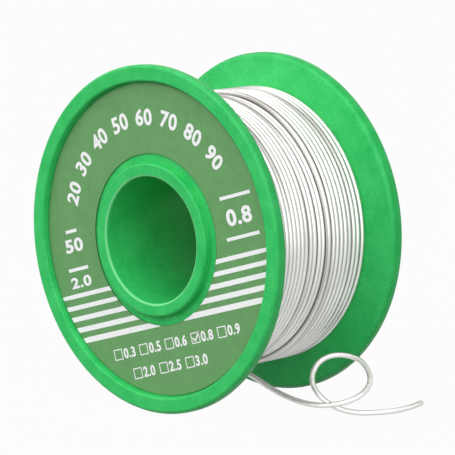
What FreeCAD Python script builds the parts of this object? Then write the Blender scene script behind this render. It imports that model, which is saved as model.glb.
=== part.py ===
"""Solder wire spool: two moulded halves, a label, and the wire wound on them.

Millimetres. The spool stands on its two rims, its bore along Y, the label
facing -Y and +Z up. The origin is on the floor below the middle of the bore.
"""
import FreeCAD
import Part

import math
import os

from FreeCAD import Vector

# ---- driving dimensions ----------------------------------------------------

# spool, outside
flange_radius = 26.0         # both flanges, over the rim
spool_width = 27.0           # between the two outer faces
rim_width = 2.0              # axial width of the rim at its edge
rim_face = 2.4               # radial width of the raised rim
root_width = 3.2             # axial width of the flange where it meets the barrel
recess_depth = 1.1           # the ring for the label lies this far below the rim
recess_draft = 0.12          # the rim's inner wall leans out by this much
rim_edge_round = 0.5         # outer edge of the rim
inner_edge_round = 0.65      # edge of the rim towards the wire
rim_lip_round = 0.3          # inner edge of the raised rim
parting_step = 0.12          # step left by the two halves of the mould
parting_place = 1.25         # the step's distance from the outer face

# spool, hub
bore_radius = 9.45
bore_round = 0.4
collar_wall = 2.0            # the collar round the bore, level with the rim
collar_round = 0.3
tube_wall = 1.5              # the tube that carries the bore through the hub
barrel_radius = 17.7         # the wire is wound on this
barrel_wall = 1.2
web_wall = 1.5               # the flange's wall between the label and the hub's hollow
root_round = 0.4
pocket_round = 0.4

# joint between the halves
boss_count = 6               # pins and sockets in turn
boss_radius = 1.8
pin_radius = 1.0
pin_length = 2.5
pin_tip = 0.3
socket_clearance = 0.03
socket_spare = 0.6           # the socket is deeper than the pin is long
rib_thickness = 1.0
rib_drop = 0.6               # the ribs end this far below the joint

# label
label_thickness = 0.15
label_inner_margin = 1.35    # from the collar
label_outer_margin = 0.2     # from the rim's inner wall

# wire
wire_diameter = 0.8
flux_diameter = 0.28
flux_clearance = 0.01
winding_depth = 3.35         # from the barrel to the top of the outermost turns
layer_step = 0.69            # a turn lies this much lower in the layer below
layer_offset = 0.55          # and this far beside the outer layer's last turn
turn_gap = 0.41              # least gap between neighbouring turns
core_clearance = 0.05        # between the turns and the layers under them
side_clearance = 0.05        # between the wire and the spool
exit_place = 3.0             # where along the axis the free end leaves
exit_slope = -12.0           # degrees, downwards
lead_run = 4.7               # the free end's first straight run

# route of the free end after its first run
FREE_END_ROUTE = [
    (5.4, 2.6, 4.0),
    (9.9, 1.3, 3.2),
    (14.8, 0.2, 2.5),
    (19.3, 0.0, 2.1),
    (22.8, 1.2, 2.2),
    (25.1, 3.7, 3.0),
    (25.4, 6.8, 4.3),
    (23.8, 9.0, 6.0),
    (20.8, 9.9, 7.8),
    (17.5, 8.3, 8.3),
    (16.1, 5.6, 7.3),
    (17.0, 3.0, 4.8),
    (19.8, 2.7, 2.3),
    (23.1, 4.7, 0.6),
    (27.1, 8.5, 0.7),
    (30.6, 10.5, 1.7),
    (32.3, 10.8, 2.7),
]

# ---- sizes that follow ------------------------------------------------------

half_width = spool_width / 2
collar_radius = bore_radius + collar_wall
tube_radius = bore_radius + tube_wall
barrel_inside = barrel_radius - barrel_wall
rim_inside = flange_radius - rim_face
recess_floor_radius = rim_inside - recess_draft
pocket_floor = recess_depth + web_wall
boss_place = (tube_radius + barrel_inside) / 2
wire_radius = wire_diameter / 2
outer_turn_radius = barrel_radius + winding_depth - wire_radius
under_turn_radius = outer_turn_radius - layer_step
under_end = exit_place - layer_offset
axis_height = flange_radius

AXIS = Vector(0, 1, 0)
ORIGIN = Vector(0, 0, 0)


def flange_width(radius):
    """Axial width of the flange at a radius: it thickens from rim to barrel."""
    rim_edge = flange_radius - parting_step
    share = (rim_edge - radius) / (rim_edge - barrel_radius)
    return rim_width + share * (root_width - rim_width)


def wire_side(radius):
    """Distance from the middle of the spool to the flange, less the clearance."""
    return half_width - flange_width(radius) - side_clearance


# ---- helpers ------------------------------------------------------------------

def arc_through(start, corner, end):
    """Arc tangent to start-corner and corner-end, which are equally long."""
    middle = (start + end) * 0.5
    half_chord = (end - start).Length / 2
    height = (corner - middle).Length
    bend = math.atan2(height, half_chord)
    crown = middle + (corner - middle) * (math.tan(bend / 2) / math.tan(bend))
    return Part.Arc(start, crown, end).toShape()


def rounded_face(corners):
    """Closed face in the XY plane from (x, y, rounding) corners."""
    points = [Vector(x, y, 0) for x, y, _ in corners]
    count = len(points)
    ends = []
    for index, (_, _, rounding) in enumerate(corners):
        here = points[index]
        before = (points[index - 1] - here).normalize()
        after = (points[(index + 1) % count] - here).normalize()
        cut = rounding / math.tan(before.getAngle(after) / 2)
        ends.append((here + before * cut, here + after * cut))
    edges = []
    for index in range(count):
        entry, leave = ends[index]
        if corners[index][2] > 0:
            edges.append(arc_through(entry, points[index], leave))
        following = ends[(index + 1) % count][0]
        edges.append(Part.LineSegment(leave, following).toShape())
    return Part.Face(Part.Wire(edges))


def turned(corners):
    """Solid of revolution about the spool's axis, from (radius, place, rounding)."""
    return rounded_face(corners).revolve(ORIGIN, AXIS, 360)


def stand_up(shape):
    """Lift a shape from the spool's axis to its standing height."""
    return shape.translated(Vector(0, 0, axis_height))


def swept(edges, radius):
    """Round tube along a smooth path."""
    path = Part.Wire(edges)
    start = path.Edges[0]
    tangent = start.tangentAt(start.FirstParameter)
    ring = Part.Circle(start.valueAt(start.FirstParameter), tangent, radius)
    profile = Part.Wire([ring.toShape()])
    return path.makePipeShell([profile], True, False)


# ---- the moulded half ---------------------------------------------------------

def half_shell():
    """Flange, rim, collar, bore tube and barrel in one turned section."""
    face = -half_width
    rim_edge = flange_radius - parting_step
    return turned([
        (bore_radius, 0, 0),
        (bore_radius, face, bore_round),
        (collar_radius, face, collar_round),
        (collar_radius, face + recess_depth, 0),
        (recess_floor_radius, face + recess_depth, 0),
        (rim_inside, face, rim_lip_round),
        (flange_radius, face, rim_edge_round),
        (flange_radius, face + parting_place, 0),
        (rim_edge, face + parting_place, 0),
        (rim_edge, face + rim_width, inner_edge_round),
        (barrel_radius, face + root_width, root_round),
        (barrel_radius, 0, 0),
        (barrel_inside, 0, 0),
        (barrel_inside, face + pocket_floor, pocket_round),
        (tube_radius, face + pocket_floor, pocket_round),
        (tube_radius, 0, 0),
    ])


def rib(angle):
    """Radial rib from the bore tube to the barrel."""
    bite = barrel_wall / 2
    length = barrel_inside - tube_radius + 2 * bite
    height = half_width - pocket_floor - rib_drop + bite
    corner = Vector(tube_radius - bite, -half_width + pocket_floor - bite, -rib_thickness / 2)
    bar = Part.makeBox(length, height, rib_thickness, corner)
    return bar.rotated(ORIGIN, AXIS, angle)


def boss(angle):
    """Round boss in the middle of a rib, up to the joint."""
    bite = web_wall / 2
    base = Vector(boss_place, -half_width + pocket_floor - bite, 0)
    post = Part.makeCylinder(boss_radius, half_width - pocket_floor + bite, base, AXIS)
    return post.rotated(ORIGIN, AXIS, angle)


def pin(angle):
    """Pin that stands out of a boss, with a tapered tip."""
    root = boss_radius / 2
    shank = Part.makeCylinder(pin_radius, root + pin_length - pin_tip,
                              Vector(boss_place, -root, 0), AXIS)
    tip = Part.makeCone(pin_radius, pin_radius - pin_tip, pin_tip,
                        Vector(boss_place, pin_length - pin_tip, 0), AXIS)
    return shank.fuse(tip).rotated(ORIGIN, AXIS, angle)


def socket(angle):
    """Hole in a boss for the other half's pin."""
    depth = pin_length + socket_spare
    hole = Part.makeCylinder(pin_radius + socket_clearance, depth,
                             Vector(boss_place, -depth, 0), AXIS)
    return hole.rotated(ORIGIN, AXIS, angle)


def moulded_half():
    """One half of the spool on the -Y side. The same mould makes both halves."""
    step = 360 / boss_count
    angles = [index * step for index in range(boss_count)]
    added = []
    for angle in angles:
        added.append(rib(angle))
        added.append(boss(angle))
    added += [pin(angle) for angle in angles[0::2]]
    body = half_shell().fuse(added)
    body = body.cut([socket(angle) for angle in angles[1::2]])
    return body.removeSplitter()


def front_label():
    """Thin ring stuck to the floor of the front recess."""
    back = -half_width + recess_depth
    inner = collar_radius + label_inner_margin
    outer = recess_floor_radius - label_outer_margin
    return turned([
        (inner, back, 0),
        (outer, back, 0),
        (outer, back - label_thickness, 0),
        (inner, back - label_thickness, 0),
    ])


# ---- the wire -------------------------------------------------------------------

def helix_point(radius, angle, place):
    return Vector(radius * math.cos(angle), place, radius * math.sin(angle))


def helix_tangent(radius, angle, advance):
    """Unit tangent for a turn that moves by advance along the axis per radian."""
    return Vector(-radius * math.sin(angle), advance, radius * math.cos(angle)).normalize()


def biarc(start, start_tangent, end, end_tangent):
    """Two arcs that join smoothly between two points with given directions."""
    span = end - start
    lean = start_tangent + end_tangent
    square = lean.dot(lean) - 4
    slope = -2 * span.dot(lean)
    root = math.sqrt(slope * slope - 4 * square * span.dot(span))
    reach = (-slope - root) / (2 * square)
    first = start + start_tangent * reach
    second = end - end_tangent * reach
    joint = (first + second) * 0.5
    return [arc_through(start, first, joint), arc_through(joint, second, end)]


def winding_path(radius, first_place, last_place, end_angle):
    """One layer of turns from first_place to last_place, ending at end_angle.

    The ends run straight for one wire diameter. Returns the path's edges and
    its last point.
    """
    travel = last_place - first_place
    turns = int(abs(travel) / (wire_diameter + turn_gap))
    pieces = 2 * turns
    advance = travel / (turns * 2 * math.pi)
    angles = [end_angle - math.pi * (pieces - index) for index in range(pieces + 1)]
    places = [first_place + travel * index / pieces for index in range(pieces + 1)]
    tangents = [helix_tangent(radius, angle, advance) for angle in angles]
    tangents[0] = helix_tangent(radius, angles[0], 0)
    tangents[-1] = helix_tangent(radius, angles[-1], 0)
    points = [helix_point(radius, angle, place) for angle, place in zip(angles, places)]
    head = points[0] - tangents[0] * wire_diameter
    tail = points[-1] + tangents[-1] * wire_diameter
    edges = [Part.LineSegment(head, points[0]).toShape()]
    for index in range(pieces):
        edges += biarc(points[index], tangents[index], points[index + 1], tangents[index + 1])
    edges.append(Part.LineSegment(points[-1], tail).toShape())
    return edges, tail


def least_gap(edges):
    """Least gap between the surfaces of a tube's neighbouring turns, on points."""
    points = []
    along = []
    run = 0.0
    for edge in edges:
        samples = edge.discretize(Number=13)
        for sample in samples[1:]:
            run += (sample - points[-1]).Length if points else 0.0
            points.append(sample)
            along.append(run)
    least = math.inf
    apart = 10 * wire_diameter
    for index, point in enumerate(points):
        for other in range(index + 1, len(points)):
            if along[other] - along[index] > apart:
                least = min(least, (points[other] - point).Length)
    return least - wire_diameter


def winding_core():
    """The layers under the visible turns, as one plain stepped ring."""
    inner = barrel_radius + side_clearance
    under = under_turn_radius - wire_radius - core_clearance
    outer = outer_turn_radius - wire_radius - core_clearance
    step = under_end + wire_radius + core_clearance
    corner = root_round + side_clearance
    return turned([
        (inner, -wire_side(inner), corner),
        (under, -wire_side(under), 0),
        (under, step, 0),
        (outer, step, 0),
        (outer, wire_side(outer), 0),
        (inner, wire_side(inner), corner),
    ])


def route_edges(route):
    """Straight runs joined by tangent arcs as large as the runs allow."""
    points = [Vector(*point) for point in route]
    edges = []
    here = points[0]
    radii = []
    for before, corner, after in zip(points, points[1:], points[2:]):
        back = before - corner
        ahead = after - corner
        half_turn = (math.pi - back.getAngle(ahead)) / 2
        cut = 0.45 * min(back.Length, ahead.Length)
        radii.append(cut / math.tan(half_turn))
        entry = corner + back.normalize() * cut
        leave = corner + ahead.normalize() * cut
        edges.append(Part.LineSegment(here, entry).toShape())
        edges.append(arc_through(entry, corner, leave))
        here = leave
    edges.append(Part.LineSegment(here, points[-1]).toShape())
    return edges, radii


def report_tube(name, tube, edges, radius):
    """Print a tube's volume against its section times its length."""
    length = sum(edge.Length for edge in edges)
    expected = math.pi * radius * radius * length
    print(f"{name}: length {length:.2f} mm, volume {tube.Volume:.3f} of {expected:.3f} mm3")


def wire_parts():
    """The visible turns of both layers, the free end and its flux."""
    slope = math.radians(exit_slope)
    end_angle = slope - math.pi / 2
    under_start = -wire_side(under_turn_radius) + wire_radius
    outer_start = wire_side(outer_turn_radius) - wire_radius
    under_edges, _ = winding_path(under_turn_radius, under_start, under_end, end_angle)
    outer_edges, leave = winding_path(outer_turn_radius, outer_start, exit_place, end_angle)
    parts = {}
    for name, edges in (("under_turns", under_edges), ("outer_turns", outer_edges)):
        tube = swept(edges, wire_radius)
        report_tube(name, tube, edges, wire_radius)
        print(f"{name}: least gap to itself {least_gap(edges):.3f} mm")
        parts[name] = stand_up(tube)

    exit_point = leave + Vector(0, 0, axis_height)
    first_run = Vector(math.cos(slope), 0, math.sin(slope)) * lead_run
    route = [exit_point, exit_point + first_run] + FREE_END_ROUTE
    edges, radii = route_edges(route)
    print("free end: exit", [round(value, 2) for value in exit_point])
    print("free end: radii", [round(radius, 1) for radius in radii])
    outside = swept(edges, wire_radius)
    hollow = swept(edges, flux_diameter / 2)
    report_tube("free_end", outside, edges, wire_radius)
    parts["free_end"] = outside.cut(hollow)
    parts["flux_core"] = swept(edges, flux_diameter / 2 - flux_clearance)
    return parts


# ---- the whole part -----------------------------------------------------------

def build():
    half = moulded_half()
    parts = {
        "front_half": stand_up(half),
        "back_half": stand_up(half.rotated(ORIGIN, Vector(0, 0, 1), 180)),
        "front_label": stand_up(front_label()),
        "winding_core": stand_up(winding_core()),
    }
    parts.update(wire_parts())
    os.makedirs("parts", exist_ok=True)
    for name, shape in parts.items():
        solids = shape.Solids
        print(f"{name}: {len(solids)} solid, valid {shape.isValid()}, {shape.Volume:.1f} mm3")
        shape.exportStep(f"parts/{name}.step")


build()
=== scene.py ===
import math
import random

import bpy
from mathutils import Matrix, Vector


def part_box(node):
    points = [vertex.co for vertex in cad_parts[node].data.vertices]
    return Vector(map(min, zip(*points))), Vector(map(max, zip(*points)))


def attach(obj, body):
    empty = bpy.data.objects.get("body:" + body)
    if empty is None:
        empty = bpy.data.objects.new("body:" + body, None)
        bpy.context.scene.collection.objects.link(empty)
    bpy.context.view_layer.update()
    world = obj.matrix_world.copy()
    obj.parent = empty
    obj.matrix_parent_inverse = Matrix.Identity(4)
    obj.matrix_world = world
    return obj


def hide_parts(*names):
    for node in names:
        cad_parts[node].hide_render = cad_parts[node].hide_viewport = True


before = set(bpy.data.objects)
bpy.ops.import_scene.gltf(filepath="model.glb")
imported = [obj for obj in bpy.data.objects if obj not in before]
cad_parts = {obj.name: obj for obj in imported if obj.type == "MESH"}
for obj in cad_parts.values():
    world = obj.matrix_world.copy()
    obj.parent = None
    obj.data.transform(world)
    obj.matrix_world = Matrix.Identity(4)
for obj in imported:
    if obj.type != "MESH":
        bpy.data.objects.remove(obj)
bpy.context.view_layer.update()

# Solder wire spool: two moulded green halves, a printed ring label, and the wire
# wound on them with its free end curled on the bench. Metres, +Z up, the bore
# along Y and the label facing -Y.

MM = 0.001


# ---- sizes taken from the frame ------------------------------------------------------

half_low, half_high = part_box("front_half")
label_low, label_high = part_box("front_label")
outer_low, outer_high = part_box("outer_turns")
under_low, under_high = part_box("under_turns")

HUB_HEIGHT = (half_low.z + half_high.z) / 2
HUB = Vector((0, 0, HUB_HEIGHT))
LABEL_PLANE = label_low.y
LABEL_RADIUS = (label_high.x - label_low.x) / 2
LABEL_INNER_RADIUS = 12.8 * MM
BORE_RADIUS = 9.45 * MM

# ---- the wire ------------------------------------------------------------------------

WIRE_RADIUS = 0.4 * MM
FLUX_RADIUS = 0.13 * MM
OUTER_TURN_RADIUS = (outer_high.x - outer_low.x) / 2 - WIRE_RADIUS
UNDER_TURN_RADIUS = (under_high.x - under_low.x) / 2 - WIRE_RADIUS

FREE_END_EXIT = (-3.51 * MM, 3.0 * MM, 5.63 * MM)
FREE_END_ROUTE = [
    FREE_END_EXIT,
    (1.09 * MM, 3.0 * MM, 4.65 * MM),
    (5.4 * MM, 2.6 * MM, 4.0 * MM),
    (9.9 * MM, 1.3 * MM, 3.2 * MM),
    (14.8 * MM, 0.2 * MM, 2.5 * MM),
    (19.3 * MM, 0.0 * MM, 2.1 * MM),
    (22.8 * MM, 1.2 * MM, 2.2 * MM),
    (25.1 * MM, 3.7 * MM, 3.0 * MM),
    (25.4 * MM, 6.8 * MM, 4.3 * MM),
    (23.8 * MM, 9.0 * MM, 6.0 * MM),
    (20.8 * MM, 9.9 * MM, 7.8 * MM),
    (17.5 * MM, 8.3 * MM, 8.3 * MM),
    (16.1 * MM, 5.6 * MM, 7.3 * MM),
    (17.0 * MM, 3.0 * MM, 4.8 * MM),
    (19.8 * MM, 2.7 * MM, 2.3 * MM),
    (23.1 * MM, 4.7 * MM, 0.6 * MM),
    (27.1 * MM, 8.5 * MM, 0.7 * MM),
    (30.6 * MM, 10.5 * MM, 1.7 * MM),
    (32.3 * MM, 10.8 * MM, 2.7 * MM),
]

# ---- helpers -------------------------------------------------------------------------

def deselect_all():
    if bpy.context.object and bpy.context.object.mode != "OBJECT":
        bpy.ops.object.mode_set(mode="OBJECT")
    bpy.ops.object.select_all(action="DESELECT")


def make_active(piece):
    deselect_all()
    piece.select_set(True)
    bpy.context.view_layer.objects.active = piece


def apply_place(piece):
    """Put the piece's place, turn and scale into its mesh."""
    make_active(piece)
    bpy.ops.object.transform_apply(location=True, rotation=True, scale=True)


def to_mesh(piece):
    """Turn a curve or a text into a mesh."""
    make_active(piece)
    bpy.ops.object.convert(target="MESH")
    return bpy.context.object


def join(pieces, name):
    """Make one piece of several, under a name."""
    deselect_all()
    for piece in pieces:
        piece.select_set(True)
    bpy.context.view_layer.objects.active = pieces[0]
    bpy.ops.object.join()
    whole = bpy.context.object
    whole.name = name
    whole.data.name = name
    return whole


def finish_piece(piece, material):
    """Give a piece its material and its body."""
    piece.data.materials.clear()
    piece.data.materials.append(material)
    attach(piece, "root")


# ---- shader groups -------------------------------------------------------------------

def new_group(name, inputs, outputs):
    """An empty shader group, whose inputs and outputs are each (name, kind)."""
    group = bpy.data.node_groups.new(name, "ShaderNodeTree")
    for way, sockets in (("INPUT", inputs), ("OUTPUT", outputs)):
        for title, kind in sockets:
            group.interface.new_socket(name=title, in_out=way, socket_type=kind)
    entry = group.nodes.new("NodeGroupInput")
    leave = group.nodes.new("NodeGroupOutput")
    return group, entry, leave


def cloudy_colour_group():
    """Soft clouds between two shades, with fine specks in them."""
    group, entry, leave = new_group(
        "cloudy_colour",
        [
            ("Light", "NodeSocketColor"),
            ("Dark", "NodeSocketColor"),
            ("Cloud Scale", "NodeSocketFloat"),
            ("Speck Scale", "NodeSocketFloat"),
            ("Speck Share", "NodeSocketFloat"),
        ],
        [("Color", "NodeSocketColor")],
    )
    place = group.nodes.new("ShaderNodeTexCoord")
    clouds = group.nodes.new("ShaderNodeTexNoise")
    clouds.inputs["Detail"].default_value = 3
    specks = group.nodes.new("ShaderNodeTexNoise")
    specks.inputs["Detail"].default_value = 2
    blend = group.nodes.new("ShaderNodeMix")
    blend.data_type = "FLOAT"
    shades = group.nodes.new("ShaderNodeMix")
    shades.data_type = "RGBA"
    spread = group.nodes.new("ShaderNodeMapRange")
    spread.inputs["From Min"].default_value = 0.32
    spread.inputs["From Max"].default_value = 0.68
    link = group.links.new
    link(place.outputs["Object"], clouds.inputs["Vector"])
    link(place.outputs["Object"], specks.inputs["Vector"])
    link(entry.outputs["Cloud Scale"], clouds.inputs["Scale"])
    link(entry.outputs["Speck Scale"], specks.inputs["Scale"])
    link(entry.outputs["Speck Share"], blend.inputs["Factor"])
    link(clouds.outputs["Fac"], blend.inputs["A"])
    link(specks.outputs["Fac"], blend.inputs["B"])
    link(blend.outputs["Result"], spread.inputs["Value"])
    link(spread.outputs["Result"], shades.inputs["Factor"])
    link(entry.outputs["Dark"], shades.inputs["A"])
    link(entry.outputs["Light"], shades.inputs["B"])
    link(shades.outputs["Result"], leave.inputs["Color"])
    return group


def fine_relief_group():
    """A fine uneven surface as a height, and a roughness that follows it."""
    group, entry, leave = new_group(
        "fine_relief",
        [
            ("Scale", "NodeSocketFloat"),
            ("Least Roughness", "NodeSocketFloat"),
            ("Most Roughness", "NodeSocketFloat"),
        ],
        [("Height", "NodeSocketFloat"), ("Roughness", "NodeSocketFloat")],
    )
    place = group.nodes.new("ShaderNodeTexCoord")
    noise = group.nodes.new("ShaderNodeTexNoise")
    noise.inputs["Detail"].default_value = 4
    spread = group.nodes.new("ShaderNodeMapRange")
    spread.inputs["From Min"].default_value = 0.3
    spread.inputs["From Max"].default_value = 0.7
    link = group.links.new
    link(place.outputs["Object"], noise.inputs["Vector"])
    link(entry.outputs["Scale"], noise.inputs["Scale"])
    link(noise.outputs["Fac"], spread.inputs["Value"])
    link(entry.outputs["Least Roughness"], spread.inputs["To Min"])
    link(entry.outputs["Most Roughness"], spread.inputs["To Max"])
    link(noise.outputs["Fac"], leave.inputs["Height"])
    link(spread.outputs["Result"], leave.inputs["Roughness"])
    return group


def ring_mask_group():
    """A mask that is 1 on a circle round the bore's axis and fades to 0 at a width from it."""
    group, entry, leave = new_group(
        "ring_mask",
        [("Radius", "NodeSocketFloat"), ("Width", "NodeSocketFloat")],
        [("Mask", "NodeSocketFloat")],
    )
    place = group.nodes.new("ShaderNodeTexCoord")
    centre = group.nodes.new("ShaderNodeVectorMath")
    centre.operation = "SUBTRACT"
    centre.inputs[1].default_value = HUB
    flat = group.nodes.new("ShaderNodeVectorMath")
    flat.operation = "MULTIPLY"
    flat.inputs[1].default_value = (1, 0, 1)
    reach = group.nodes.new("ShaderNodeVectorMath")
    reach.operation = "LENGTH"
    away = group.nodes.new("ShaderNodeMath")
    away.operation = "SUBTRACT"
    side = group.nodes.new("ShaderNodeMath")
    side.operation = "ABSOLUTE"
    fade = group.nodes.new("ShaderNodeMapRange")
    fade.inputs["From Min"].default_value = 0
    fade.inputs["To Min"].default_value = 1
    fade.inputs["To Max"].default_value = 0
    link = group.links.new
    link(place.outputs["Object"], centre.inputs[0])
    link(centre.outputs["Vector"], flat.inputs[0])
    link(flat.outputs["Vector"], reach.inputs[0])
    link(reach.outputs["Value"], away.inputs[0])
    link(entry.outputs["Radius"], away.inputs[1])
    link(away.outputs["Value"], side.inputs[0])
    link(side.outputs["Value"], fade.inputs["Value"])
    link(entry.outputs["Width"], fade.inputs["From Max"])
    link(fade.outputs["Result"], leave.inputs["Mask"])
    return group


CLOUDY_COLOUR = cloudy_colour_group()
FINE_RELIEF = fine_relief_group()
RING_MASK = ring_mask_group()


def new_material(name):
    material = bpy.data.materials.new(name)
    material.use_nodes = True
    return material, material.node_tree, material.node_tree.nodes["Principled BSDF"]


def place_group(tree, group, values):
    """A shader group placed in a material with its own values."""
    node = tree.nodes.new("ShaderNodeGroup")
    node.node_tree = group
    for title, value in values.items():
        node.inputs[title].default_value = value
    return node


def add_clouds(tree, light, dark, cloud_scale, speck_scale, speck_share):
    """A clouded colour."""
    clouds = place_group(tree, CLOUDY_COLOUR, {
        "Light": light,
        "Dark": dark,
        "Cloud Scale": cloud_scale,
        "Speck Scale": speck_scale,
        "Speck Share": speck_share,
    })
    return clouds.outputs["Color"]


def add_relief(tree, shader, scale, least, most, depth):
    """Roughness from least to most and a bump of a depth, both on one scale."""
    relief = place_group(tree, FINE_RELIEF, {
        "Scale": scale,
        "Least Roughness": least,
        "Most Roughness": most,
    })
    bump = tree.nodes.new("ShaderNodeBump")
    bump.inputs["Strength"].default_value = 1.0
    bump.inputs["Distance"].default_value = depth
    tree.links.new(relief.outputs["Roughness"], shader.inputs["Roughness"])
    tree.links.new(relief.outputs["Height"], bump.inputs["Height"])
    tree.links.new(bump.outputs["Normal"], shader.inputs["Normal"])


def add_ring(tree, colour, radius, width, paint):
    """A colour with a painted ring over it, round the bore's axis."""
    ring = place_group(tree, RING_MASK, {"Radius": radius, "Width": width})
    mix = tree.nodes.new("ShaderNodeMix")
    mix.data_type = "RGBA"
    mix.inputs["B"].default_value = paint
    tree.links.new(ring.outputs["Mask"], mix.inputs["Factor"])
    tree.links.new(colour, mix.inputs["A"])
    return mix.outputs["Result"]


# ---- materials -----------------------------------------------------------------------

# the wire's mark of painted shade between turns and at the top, together with its tarnish
# streaks
SHADE_AND_TARNISH_MARK = "shade_and_tarnish"       # the wire's own mark of how dull it is
# width of the painted highlight, a pale ring at the ends of the bore
EDGE_HIGHLIGHT_WIDTH = 0.2 * MM        # of the pale ring at the ends of the bore
# width of the painted shade along the label's edges
LABEL_EDGE_SHADE_WIDTH = 0.12 * MM


def green_plastic():
    """Glossy moulded polystyrene, slightly uneven, with a painted highlight as a pale ring at
    the ends of its bore.
    """
    material, tree, shader = new_material("green_moulded_plastic")
    colour = add_clouds(
        tree,
        light=(0.056, 0.61, 0.158, 1),
        dark=(0.018, 0.47, 0.100, 1),
        cloud_scale=300,
        speck_scale=2600,
        speck_share=0.4,
    )
    # painted highlight: a pale ring round both ends of the bore
    painted_highlight = add_ring(
        tree,
        colour,
        radius=BORE_RADIUS + EDGE_HIGHLIGHT_WIDTH,
        width=EDGE_HIGHLIGHT_WIDTH,
        paint=(0.24, 0.74, 0.34, 1),
    )
    tree.links.new(painted_highlight, shader.inputs["Base Color"])
    add_relief(tree, shader, scale=900, least=0.30, most=0.42, depth=0.012 * MM)
    shader.inputs["IOR"].default_value = 1.5
    shader.inputs["Specular IOR Level"].default_value = 0.16
    return material


def label_paper():
    """Olive green printed paper, with painted shade along both its edges."""
    material, tree, shader = new_material("label_paper")
    colour = add_clouds(
        tree,
        light=(0.130, 0.335, 0.114, 1),
        dark=(0.092, 0.268, 0.082, 1),
        cloud_scale=500,
        speck_scale=3200,
        speck_share=0.6,
    )
    # painted shade: dark rings along the label's inner and outer edges
    for radius in (LABEL_INNER_RADIUS, LABEL_RADIUS):
        colour = add_ring(
            tree,
            colour,
            radius=radius,
            width=LABEL_EDGE_SHADE_WIDTH,
            paint=(0.020, 0.110, 0.030, 1),
        )
    tree.links.new(colour, shader.inputs["Base Color"])
    add_relief(tree, shader, scale=4200, least=0.48, most=0.62, depth=0.006 * MM)
    return material


def white_ink():
    """Screen-printed ink, a little uneven."""
    material, tree, shader = new_material("white_ink")
    colour = add_clouds(
        tree,
        light=(0.95, 0.955, 0.965, 1),
        dark=(0.89, 0.895, 0.905, 1),
        cloud_scale=600,
        speck_scale=3600,
        speck_share=0.6,
    )
    tree.links.new(colour, shader.inputs["Base Color"])
    add_relief(tree, shader, scale=4200, least=0.50, most=0.62, depth=0.004 * MM)
    return material


def solder_metal():
    """Bright drawn tin solder with faint oxide clouds, darker and less metallic where its mark
    of painted shade and tarnish is high.
    """
    material, tree, shader = new_material("solder_metal")
    colour = add_clouds(
        tree,
        light=(0.88, 0.875, 0.86, 1),
        dark=(0.79, 0.78, 0.76, 1),
        cloud_scale=260,
        speck_scale=2400,
        speck_share=0.3,
    )
    # painted shade and tarnish: a dark grey mixed in where the mark is high
    shade_and_tarnish = tree.nodes.new("ShaderNodeAttribute")
    shade_and_tarnish.attribute_name = SHADE_AND_TARNISH_MARK
    shaded = tree.nodes.new("ShaderNodeMix")
    shaded.data_type = "RGBA"
    shaded.inputs["B"].default_value = (0.32, 0.30, 0.27, 1)
    tree.links.new(shade_and_tarnish.outputs["Fac"], shaded.inputs["Factor"])
    tree.links.new(colour, shaded.inputs["A"])
    tree.links.new(shaded.outputs["Result"], shader.inputs["Base Color"])
    shader.inputs["Specular Tint"].default_value = (0.45, 0.45, 0.45, 1)
    # less metal where the mark of painted shade and tarnish is high
    tarnish_and_shade_metallic = tree.nodes.new("ShaderNodeMapRange")
    tarnish_and_shade_metallic.inputs["To Min"].default_value = 0.7
    tarnish_and_shade_metallic.inputs["To Max"].default_value = 0.4
    tree.links.new(shade_and_tarnish.outputs["Fac"], tarnish_and_shade_metallic.inputs["Value"])
    tree.links.new(tarnish_and_shade_metallic.outputs["Result"], shader.inputs["Metallic"])
    add_relief(tree, shader, scale=2600, least=0.30, most=0.42, depth=0.001 * MM)
    return material


def dull_solder():
    """The layers under the turns, painted dark grey as shade where the gaps show them."""
    material, tree, shader = new_material("dull_solder")
    # painted shade: the dark grey that shows in the gaps between the turns
    colour = add_clouds(
        tree,
        light=(0.50, 0.49, 0.47, 1),
        dark=(0.36, 0.35, 0.33, 1),
        cloud_scale=400,
        speck_scale=2400,
        speck_share=0.35,
    )
    tree.links.new(colour, shader.inputs["Base Color"])
    shader.inputs["Metallic"].default_value = 1.0
    add_relief(tree, shader, scale=3200, least=0.5, most=0.65, depth=0.01 * MM)
    return material


def flux_rosin():
    """Amber rosin in the middle of the wire."""
    material, tree, shader = new_material("flux_rosin")
    colour = add_clouds(
        tree,
        light=(0.55, 0.30, 0.06, 1),
        dark=(0.38, 0.18, 0.03, 1),
        cloud_scale=1200,
        speck_scale=6000,
        speck_share=0.5,
    )
    tree.links.new(colour, shader.inputs["Base Color"])
    add_relief(tree, shader, scale=6000, least=0.25, most=0.4, depth=0.003 * MM)
    return material


PLASTIC = green_plastic()
PAPER = label_paper()
INK = white_ink()
SOLDER = solder_metal()
ROSIN = flux_rosin()
SHADED_CORE_SOLDER = dull_solder()


def dress_frame_nodes():
    """Give the pieces that the scene keeps from the frame their materials."""
    for node, material in (
        ("front_half", PLASTIC),
        ("back_half", PLASTIC),
        ("front_label", PAPER),
        ("winding_core", SHADED_CORE_SOLDER),
    ):
        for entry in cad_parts[node].material_slots:
            entry.material = material


# ---- camera --------------------------------------------------------------------------

CAMERA_AZIMUTH = math.radians(44.64)
CAMERA_ELEVATION = math.radians(9.19)
CAMERA_DISTANCE = 0.4454
CAMERA_LENS = 233.4
AIM_RIGHT = 1.994 * MM
AIM_UP = 0.380 * MM


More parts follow.
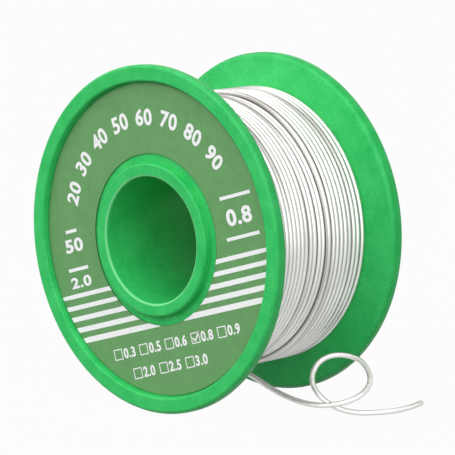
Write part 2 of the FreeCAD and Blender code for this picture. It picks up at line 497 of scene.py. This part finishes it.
def add_camera():
    back = Vector((
        math.sin(CAMERA_AZIMUTH) * math.cos(CAMERA_ELEVATION),
        -math.cos(CAMERA_AZIMUTH) * math.cos(CAMERA_ELEVATION),
        math.sin(CAMERA_ELEVATION),
    ))
    right = Vector((math.cos(CAMERA_AZIMUTH), math.sin(CAMERA_AZIMUTH), 0))
    up = back.cross(right)
    place = HUB + back * CAMERA_DISTANCE
    aim = HUB + right * AIM_RIGHT + up * AIM_UP
    turn = (aim - place).to_track_quat("-Z", "Y").to_euler()
    bpy.ops.object.camera_add(location=place, rotation=turn)
    camera = bpy.context.object
    camera.data.lens = CAMERA_LENS
    camera.data.sensor_width = 36
    camera.data.clip_start = 0.01
    bpy.context.scene.camera = camera


# ---- the free end --------------------------------------------------------------------

def round_curve(name, kind, points, radius, roundness):
    """A curve with a round section: POLY runs through the points, NURBS along them."""
    data = bpy.data.curves.new(name, "CURVE")
    data.dimensions = "3D"
    data.bevel_depth = radius
    data.bevel_resolution = roundness
    data.use_fill_caps = True
    spline = data.splines.new(kind)
    spline.points.add(len(points) - 1)
    for target, point in zip(spline.points, points):
        target.co = (*point, 1)
    if kind == "NURBS":
        spline.order_u = 3
        spline.use_endpoint_u = True
        data.resolution_u = 16
    piece = bpy.data.objects.new(name, data)
    bpy.context.collection.objects.link(piece)
    return piece


def add_free_end():
    """The free end as a cord, with its rosin core."""
    wire = round_curve("free_end_wire", "NURBS", FREE_END_ROUTE, WIRE_RADIUS, roundness=10)
    core = round_curve("free_end_rosin", "NURBS", FREE_END_ROUTE, FLUX_RADIUS, roundness=3)
    finish_piece(wire, SOLDER)
    finish_piece(core, ROSIN)
    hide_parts("free_end")
    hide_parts("flux_core")


# ---- the winding ---------------------------------------------------------------------

STEPS_PER_TURN = 96
END_ANGLE = math.radians(-102)
CROSSING_START = 0.60        # share of a turn at which it starts to cross to the next row
CROSSING_END = 0.95
DIVE = 0.05                  # share of a turn in which an end goes down between the turns
LOW_SHARE = 0.08             # the turns fan out a little here, low down
HIGH_SHARE = 0.47            # and here, at the top
FAN_WIDTH = 0.09
GAP_UNEVENNESS = 0.5
WAVE_HEIGHT = 0.02 * MM      # the turns rise and sink this much
WAVE_TURNS = 7               # in waves this many turns long

LAST_ROW_PLACE = 3.03 * WIRE_RADIUS    # the outer layer's last row, from the layer's edge
LEAN = 0.84 * MM             # how far it leans over where it shows
LEAN_START = 0.10            # share of a turn at which it leans all the way
LEAN_END = 0.85              # and at which it starts to stand up again

SLOW_STREAKS = 0.83          # waves of oxide in a turn
FAST_STREAKS = 2.3
STREAK_START = 0.1
STREAK_FULL = 1.3
# painted shade on the flanks between neighbouring turns
FLANK_SHADE_START = -0.6          # how far below its turn's middle circle a flank starts to be
FLANK_SHADE_FULL = 0.3            # dull and is fully dull, in wire radii
FREE_FLANK = 0.3 * MM        # the last row's free side gets dull over this
# painted shade: the streaks made darker at the top of the winding and beside the front flange
TOP_SHARE = 0.5
TOP_WIDTH = 0.12
FRONT_START = 5 * MM         # from the middle plane towards the front flange
FRONT_FULL = 10 * MM
PLAIN_STREAKS = 0.3          # how dull the streaks are all round
TOP_PAINTED_SHADE = 0.7            # and how much more at the top
CORNER_PAINTED_SHADE = 0.4        # at the top beside the front flange


def ramp(value, low, high):
    """Smooth step from 0 at low to 1 at high."""
    share = min(max((value - low) / (high - low), 0), 1)
    return share * share * (3 - 2 * share)


def hump(value, middle, width):
    """Smooth hump, 1 at its middle."""
    return math.exp(-((value - middle) / width) ** 2)


def ripple(share, seed):
    """Smooth seeded unevenness from -1 to 1 that closes on itself after one turn."""
    maker = random.Random(seed)
    first, second = maker.random(), maker.random()
    once = math.sin(2 * math.pi * (share + first))
    twice = math.sin(2 * math.pi * (2 * share + second))
    return 0.6 * once + 0.4 * twice


def rows_at(share, first, last, gaps, seed):
    """Places of the rows along the axis at a share of the way round.

    Each gap is (everywhere, low down, at the top), in parts of the room there is.
    """
    low = hump(share, LOW_SHARE, FAN_WIDTH)
    high = hump(share, HIGH_SHARE, FAN_WIDTH)
    parts = [
        (plain + low * at_low + high * at_high)
        * (1 + GAP_UNEVENNESS * ripple(share, seed + index))
        for index, (plain, at_low, at_high) in enumerate(gaps)
    ]
    spare = abs(last - first) - len(gaps) * 2 * WIRE_RADIUS
    way = 1 if last > first else -1
    places = [first]
    for part in parts:
        places.append(places[-1] + way * (2 * WIRE_RADIUS + spare * part / sum(parts)))
    return places


def winding_points(radius, first, last, gaps, turns, leave, seed):
    """Turns that lie side by side in rows and cross to the next row behind.

    last gives the last row's place at a share of the way round, and leave is
    the place to which its turn crosses. The start goes down into the winding,
    and so does an end after part of a turn.
    """
    points = []
    for step in range(round(turns * STEPS_PER_TURN) + 1):
        turn = step / STEPS_PER_TURN
        row = min(int(turn), len(gaps))
        share = turn - row
        places = rows_at(share, first, last(share), gaps, seed) + [leave]
        over = ramp(share, CROSSING_START, CROSSING_END)
        place = places[row] + (places[row + 1] - places[row]) * over
        sunk = 1 - ramp(turn, 0, DIVE)
        if turns % 1:
            sunk += ramp(turn, turns - DIVE, turns)
        wave = WAVE_HEIGHT * ripple(turn / WAVE_TURNS, seed)
        reach = radius - 2 * WIRE_RADIUS * sunk + wave
        angle = END_ANGLE + 2 * math.pi * turn
        points.append(HUB + Vector((reach * math.cos(angle), place, reach * math.sin(angle))))
    return points


def outer_edge(share):
    """Place of the outer layer's last row, which leans over where it shows."""
    lean = ramp(share, 0, LEAN_START) * (1 - ramp(share, LEAN_END, 1.0))
    return outer_low.y + LAST_ROW_PLACE - LEAN * lean


def tarnish(turn, seed):
    """Seeded streaks of oxide along the wire, from 0 to 1."""
    waves = ripple(SLOW_STREAKS * turn, seed) + ripple(FAST_STREAKS * turn, seed + 1)
    return ramp(waves, STREAK_START, STREAK_FULL)


def mark_grooves(piece, points, radius, seed, outermost):
    """Store how dark and dull the wire is painted, with shade and tarnish, at each place, from
    0 to 1.

    It is painted shade on the flanks between neighbouring turns, and tarnish in
    seeded streaks that painted shade makes darker at the top and darkest at the
    top beside the front flange. The outer layer's last row stands free towards
    the front, without painted shade on that side.
    """
    mesh = piece.data
    around = len(mesh.vertices) // len(points)
    shade_and_tarnish = mesh.attributes.new(SHADE_AND_TARNISH_MARK, "FLOAT", "POINT")
    for index, (vertex, mark) in enumerate(zip(mesh.vertices, shade_and_tarnish.data)):
        across, up = vertex.co.x, vertex.co.z - HUB_HEIGHT
        share = (math.atan2(up, across) - END_ANGLE) / (2 * math.pi) % 1
        depth = (radius - math.hypot(across, up)) / WIRE_RADIUS
        # painted shade on the flanks that lie between neighbouring turns
        painted_flank_shade = ramp(depth, FLANK_SHADE_START, FLANK_SHADE_FULL)
        if outermost:
            painted_flank_shade *= ramp(vertex.co.y - outer_edge(share), 0, FREE_FLANK)
        at_top = hump(share, TOP_SHARE, TOP_WIDTH)
        at_front = ramp(-vertex.co.y, FRONT_START, FRONT_FULL)
        turn = index // around / STEPS_PER_TURN
        # tarnish in seeded streaks, made darker by painted shade at the top and beside the
        # front flange
        tarnish_and_shade = (PLAIN_STREAKS + TOP_PAINTED_SHADE * at_top) * tarnish(turn, seed)
        tarnish_and_shade += CORNER_PAINTED_SHADE * at_top * at_front
        mark.value = min(max(painted_flank_shade, tarnish_and_shade), 1)


def add_winding(name, node, points, radius, seed, outermost):
    """One layer of turns as a closed tube that stands for a CAD node."""
    piece = to_mesh(round_curve(name, "POLY", points, WIRE_RADIUS, roundness=4))
    bpy.ops.object.shade_smooth_by_angle(angle=math.radians(50))
    mark_grooves(piece, points, radius, seed, outermost)
    finish_piece(piece, SOLDER)
    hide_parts(node)


# Gaps between neighbouring rows, from the start of each layer: (everywhere, low
# down, at the top).

UNDER_GAPS = [
    (0.1, 0.0, 0.8),
    (0.2, 0.0, 3.5),
    (0.1, 0.0, 1.5),
    (0.1, 0.0, 0.3),
    (0.2, 0.0, 2.0),
    (0.1, 0.3, 0.1),
    (0.4, 0.5, 0.0),
    (0.1, 0.2, 0.6),
    (0.1, 0.2, 0.1),
    (0.2, 0.3, 0.0),
    (0.1, 0.2, 0.6),
    (1.6, 3.0, 0.1),
    (0.1, 0.2, 0.1),
    (2.2, 2.5, 0.6),
    (0.1, 0.4, 0.1),
]

OUTER_GAPS = [
    (0.7, 0.5, 0.2),
    (0.3, 0.2, 0.2),
    (0.9, 1.5, 0.1),
    (0.4, 0.2, 0.2),
    (0.3, 0.3, 0.3),
    (0.4, 0.2, 0.2),
    (0.3, 0.3, 0.3),
    (1.6, 1.5, 1.2),
]


def add_windings():
    under_end = under_high.y - WIRE_RADIUS
    under = winding_points(
        UNDER_TURN_RADIUS,
        first=under_low.y + WIRE_RADIUS,
        last=lambda share: under_end,
        gaps=UNDER_GAPS,
        turns=len(UNDER_GAPS) + CROSSING_START,
        leave=under_end,
        seed=11,
    )
    add_winding(
        "under_winding", "under_turns", under, UNDER_TURN_RADIUS, seed=31, outermost=False)
    outer = winding_points(
        OUTER_TURN_RADIUS,
        first=outer_high.y - WIRE_RADIUS,
        last=outer_edge,
        gaps=OUTER_GAPS,
        turns=len(OUTER_GAPS) + 1,
        leave=FREE_END_EXIT[1],
        seed=23,
    )
    outer.append(Vector(FREE_END_EXIT))
    add_winding(
        "outer_winding", "outer_turns", outer, OUTER_TURN_RADIUS, seed=47, outermost=True)


# ---- the label's print ---------------------------------------------------------------
# Plain numbers here are mm, across and along the label's own tilted frame.

LABEL_TILT = math.radians(16.65)
INK_THICKNESS = 0.02 * MM
INK_SINK = 0.01 * MM
STRIPE_INNER_RADIUS = LABEL_INNER_RADIUS + 0.04 * MM
STRIPE_OUTER_RADIUS = LABEL_RADIUS - 0.06 * MM
STRIPES = [                  # (upper edge, width)
    (-5.05, 0.65),
    (-6.78, 0.68),
    (-8.46, 0.75),
    (-10.17, 0.79),
    (-11.84, 0.85),
]

ARC_RADIUS = 18.22 * MM
ARC_START = math.radians(163.6)
ARC_END = math.radians(47.4)
ARC_VALUES = [20, 30, 40, 50, 60, 70, 80, 90]
ARC_NUMBER_SIZE = (3.5, 2.55)

BOX_SIZE = (1.83, 1.65)
BOX_LINE = 0.15
BOX_TO_SIZE = 2.5            # from a tick box's middle to the middle of its wire size
BOX_NUMBER_SIZE = (2.57, 1.6)
TICKED_SIZE = "0.8"
BOX_ROWS = [                 # (along, first box across, pitch, wire sizes)
    (-15.47, -12.88, 5.7, ["0.3", "0.5", "0.6", "0.8", "0.9"]),
    (-18.8, -9.43, 5.75, ["2.0", "2.5", "3.0"]),
]
TICK_STROKES = [             # (length, across, along, turn) from the middle of its box
    (0.75, -0.35, -0.22, math.radians(-50)),
    (1.75, 0.4, 0.2, math.radians(55)),
]
TICK_LINE = 0.28


def on_label(across, along):
    """A place on the label's face, in mm across and along its tilted frame."""
    x = across * math.cos(LABEL_TILT) - along * math.sin(LABEL_TILT)
    z = across * math.sin(LABEL_TILT) + along * math.cos(LABEL_TILT)
    return Vector((x * MM, LABEL_PLANE, HUB_HEIGHT + z * MM))


def printed(name, parts):
    """Flat meshes in the XY plane, given thickness and made one printed piece."""
    whole = join(parts, name)
    make_active(whole)
    solid = whole.modifiers.new("ink", "SOLIDIFY")
    solid.thickness = INK_THICKNESS
    solid.offset = -1
    bpy.ops.object.modifier_apply(modifier="ink")
    bpy.ops.object.shade_flat()
    finish_piece(whole, INK)


def stand_on_label(piece, place, turn):
    """Turn a flat piece drawn in XY to face -Y on the label, at a place and a turn."""
    piece.rotation_mode = "XYZ"
    piece.rotation_euler = (math.pi / 2, -turn, 0)
    piece.location = place - Vector((0, INK_THICKNESS - INK_SINK, 0))
    apply_place(piece)
    return piece


def number(text, size, boldness):
    """A bold number in XY, centred, its size (width, height) in mm.

    Digits much bolder or with a finer outline fold over themselves, a 9 at a
    boldness of 0.032 already.
    """
    deselect_all()
    bpy.ops.object.text_add()
    letters = bpy.context.object
    letters.data.body = text
    letters.data.size = 1
    letters.data.offset = boldness
    letters.data.resolution_u = 4
    letters.data.space_character = 1.08
    flat = to_mesh(letters)
    xs = [vertex.co.x for vertex in flat.data.vertices]
    ys = [vertex.co.y for vertex in flat.data.vertices]
    wide = max(xs) - min(xs)
    tall = max(ys) - min(ys)
    width, height = size
    for vertex in flat.data.vertices:
        vertex.co.x = (vertex.co.x - (max(xs) + min(xs)) / 2) * width * MM / wide
        vertex.co.y = (vertex.co.y - (max(ys) + min(ys)) / 2) * height * MM / tall
    return flat


def bar(width, height):
    """A plain bar in XY, in mm."""
    deselect_all()
    bpy.ops.mesh.primitive_plane_add(size=1)
    piece = bpy.context.object
    piece.scale = (width * MM, height * MM, 1)
    apply_place(piece)
    return piece


def tick_box():
    """The outline of a tick box in XY."""
    piece = bar(*BOX_SIZE)
    bpy.ops.object.mode_set(mode="EDIT")
    bpy.ops.mesh.select_all(action="SELECT")
    bpy.ops.mesh.inset(thickness=BOX_LINE * MM)
    bpy.ops.mesh.delete(type="FACE")
    bpy.ops.object.mode_set(mode="OBJECT")
    return piece


def add_arc_numbers():
    """A bold scale of numbers round the upper label."""
    parts = []
    for index, value in enumerate(ARC_VALUES):
        angle = ARC_START + (ARC_END - ARC_START) * index / (len(ARC_VALUES) - 1)
        place = Vector((
            ARC_RADIUS * math.cos(angle),
            LABEL_PLANE,
            HUB_HEIGHT + ARC_RADIUS * math.sin(angle),
        ))
        piece = number(str(value), ARC_NUMBER_SIZE, boldness=0.031)
        parts.append(stand_on_label(piece, place, angle - math.pi / 2))
    printed("arc_numbers", parts)


def add_stripes():
    """Five stripes across the label, cut by its two edges."""
    parts = []
    for top, width in STRIPES:
        deselect_all()
        bpy.ops.mesh.primitive_circle_add(vertices=256, radius=STRIPE_OUTER_RADIUS)
        ring = bpy.context.object
        bpy.ops.object.mode_set(mode="EDIT")
        bpy.ops.mesh.select_all(action="SELECT")
        bpy.ops.mesh.extrude_edges_move()
        inwards = STRIPE_INNER_RADIUS / STRIPE_OUTER_RADIUS
        bpy.ops.transform.resize(value=(inwards, inwards, 1))
        for height, upper in ((top, True), (top - width, False)):
            bpy.ops.mesh.select_all(action="SELECT")
            bpy.ops.mesh.bisect(
                plane_co=(0, height * MM, 0),
                plane_no=(0, 1, 0),
                clear_outer=upper,
                clear_inner=not upper,
            )
        bpy.ops.mesh.select_all(action="SELECT")
        bpy.ops.mesh.normals_make_consistent(inside=False)
        bpy.ops.object.mode_set(mode="OBJECT")
        parts.append(stand_on_label(ring, on_label(0, 0), LABEL_TILT))
    printed("stripes", parts)


def add_size_rows():
    """Two rows of tick boxes, each with a wire size after it; one is ticked."""
    parts = []
    for along, start, pitch, sizes in BOX_ROWS:
        for index, size in enumerate(sizes):
            across = start + pitch * index
            parts.append(stand_on_label(tick_box(), on_label(across, along), LABEL_TILT))
            text = number(size, BOX_NUMBER_SIZE, boldness=0.031)
            place = on_label(across + BOX_TO_SIZE, along)
            parts.append(stand_on_label(text, place, LABEL_TILT))
            if size == TICKED_SIZE:
                for length, right, up, turn in TICK_STROKES:
                    stroke = bar(length, TICK_LINE)
                    place = on_label(across + right, along + up)
                    parts.append(stand_on_label(stroke, place, LABEL_TILT + turn))
    printed("size_rows", parts)


def add_side_numbers():
    """Plain numbers between rules at both sides of the hub, each (piece, across, along)."""
    left = [
        (bar(2.5, 0.5), -17.75, 4.45),
        (number("50", (4.05, 2.1), boldness=0.036), -17.7, 2.25),
        (bar(4.5, 0.5), -17.8, -1.4),
        (number("2.0", (4.6, 1.7), boldness=0.035), -17.75, -3.4),
    ]
    right = [
        (bar(6.3, 0.5), 18.2, 3.3),
        (number("0.8", (5.2, 2.5), boldness=0.036), 18.2, 0.3),
        (bar(6.8, 0.5), 18.2, -2.7),
    ]
    parts = [
        stand_on_label(piece, on_label(across, along), LABEL_TILT)
        for piece, across, along in left + right
    ]
    printed("side_numbers", parts)


# ---- floor, world and lamps ----------------------------------------------------------

FLOOR_SEEN = 0.97            # how white the floor is to the eye; the rest shows the shadow
FLOOR_GREY = 0.15            # how much of the lamps' light it sends back on the spool
WORLD_SEEN = 1.0
ROOM_LIGHT = 0.09            # light on the spool from all round


def white_to_the_eye(tree, amount):
    """The amount for rays from the camera, off gloss or through glass, else nothing."""
    path = tree.nodes.new("ShaderNodeLightPath")
    either = tree.nodes.new("ShaderNodeMath")
    either.operation = "MAXIMUM"
    third = tree.nodes.new("ShaderNodeMath")
    third.operation = "MAXIMUM"
    scale = tree.nodes.new("ShaderNodeMath")
    scale.operation = "MULTIPLY"
    scale.inputs[1].default_value = amount
    tree.links.new(path.outputs["Is Camera Ray"], either.inputs[0])
    tree.links.new(path.outputs["Is Glossy Ray"], either.inputs[1])
    tree.links.new(either.outputs["Value"], third.inputs[0])
    tree.links.new(path.outputs["Is Transmission Ray"], third.inputs[1])
    tree.links.new(third.outputs["Value"], scale.inputs[0])
    return scale.outputs["Value"]


def add_floor():
    deselect_all()
    bpy.ops.mesh.primitive_plane_add(size=6)
    floor = bpy.context.object
    floor.name = "bench"
    material = bpy.data.materials.new("bench_white")
    material.use_nodes = True
    tree = material.node_tree
    diffuse = tree.nodes["Principled BSDF"]
    diffuse.inputs["Base Color"].default_value = (FLOOR_GREY, FLOOR_GREY, FLOOR_GREY, 1)
    diffuse.inputs["Roughness"].default_value = 0.9
    glow = tree.nodes.new("ShaderNodeEmission")
    mix = tree.nodes.new("ShaderNodeMixShader")
    output = tree.nodes["Material Output"]
    tree.links.new(white_to_the_eye(tree, FLOOR_SEEN), mix.inputs["Fac"])
    tree.links.new(diffuse.outputs["BSDF"], mix.inputs[1])
    tree.links.new(glow.outputs["Emission"], mix.inputs[2])
    tree.links.new(mix.outputs["Shader"], output.inputs["Surface"])
    floor.data.materials.append(material)


def add_world():
    world = bpy.data.worlds.new("studio")
    world.use_nodes = True
    bpy.context.scene.world = world
    tree = world.node_tree
    room = tree.nodes["Background"]
    room.inputs["Color"].default_value = (1, 1, 1, 1)
    room.inputs["Strength"].default_value = ROOM_LIGHT
    seen = tree.nodes.new("ShaderNodeBackground")
    seen.inputs["Color"].default_value = (1, 1, 1, 1)
    seen.inputs["Strength"].default_value = 1.0
    mix = tree.nodes.new("ShaderNodeMixShader")
    tree.links.new(white_to_the_eye(tree, WORLD_SEEN), mix.inputs["Fac"])
    tree.links.new(room.outputs["Background"], mix.inputs[1])
    tree.links.new(seen.outputs["Background"], mix.inputs[2])
    tree.links.new(mix.outputs["Shader"], tree.nodes["World Output"].inputs["Surface"])


def add_lamp(name, place, size, watts):
    turn = (HUB - Vector(place)).to_track_quat("-Z", "Y").to_euler()
    bpy.ops.object.light_add(type="AREA", location=place, rotation=turn)
    lamp = bpy.context.object
    lamp.name = name
    lamp.data.shape = "SQUARE"
    lamp.data.size = size
    lamp.data.energy = watts


add_camera()
add_free_end()
dress_frame_nodes()
add_windings()
add_arc_numbers()
add_stripes()
add_size_rows()
add_side_numbers()
add_floor()
add_world()
add_lamp("key", place=(-0.35, -0.79, 0.86), size=2.0, watts=22.5)
add_lamp("side", place=(0.81, -0.43, 0.43), size=1.0, watts=6.8)
bpy.context.scene.view_settings.view_transform = "Standard"
